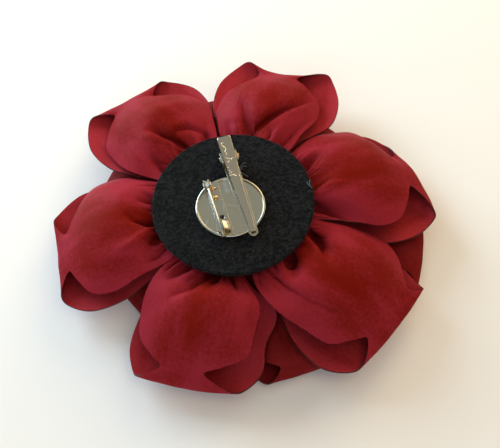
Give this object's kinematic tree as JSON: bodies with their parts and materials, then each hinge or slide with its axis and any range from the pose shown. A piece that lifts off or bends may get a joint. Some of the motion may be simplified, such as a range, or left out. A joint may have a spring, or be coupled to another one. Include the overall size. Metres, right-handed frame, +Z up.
{
  "type": "flower brooch",
  "caption": "Satin flower brooch lying face down: folded petals around a felt back, and a round metal plate with a swinging pin and a sprung alligator clip",
  "frame": {"origin": "middle of the outline, on the surface that the flower lies on face down", "axes": "+Z up out of the felt back, +Y towards the lever end of the clip, +X to the right seen from above"},
  "size_m": [0.1421, 0.1394, 0.0358],
  "materials": {
    "satin": "glossy deep red satin",
    "felt": "matt black felt",
    "nickel_plate": "polished nickel plate with fine scratches"
  },
  "bodies": {
    "flower": {"felt_disc": "felt", "petal_upper_left": "satin", "petal_top": "satin", "petal_right": "satin", "petal_lower_right": "satin", "petal_bottom": "satin", "petal_left": "satin", "under_petal_right": "satin", "under_petal_bottom": "satin", "under_petal_lower_left": "satin", "under_petal_left": "satin", "under_petal_top_left": "satin", "under_petal_top_right": "satin", "inner_petal_1": "satin", "inner_petal_2": "satin", "inner_petal_3": "satin", "inner_petal_4": "satin", "inner_petal_5": "satin", "flower_centre": "satin", "finding_base": "nickel_plate", "clip_hinge_pin": "nickel_plate", "clip_spring": "nickel_plate", "pin_rivet": "nickel_plate"},
    "jaw": {"clip_jaw": "nickel_plate"},
    "pin": {"brooch_pin": "nickel_plate"}
  },
  "joints": [
    {"name": "jaw_open", "type": "hinge", "parent": "flower", "child": "jaw", "pos_m": [-0.00292, 0.01149, 0.03185], "axis": [-0.9799, -0.1994, 0], "range_deg": [0, 25], "stiffness_Nm_per_rad": 0.02, "springref_deg": -28.65},
    {"name": "pin_swing", "type": "hinge", "parent": "flower", "child": "pin", "pos_m": [-0.01171, 0.00123, 0.03165], "axis": [-0.9799, -0.1994, 0], "range_deg": [0, 100]}
  ]
}
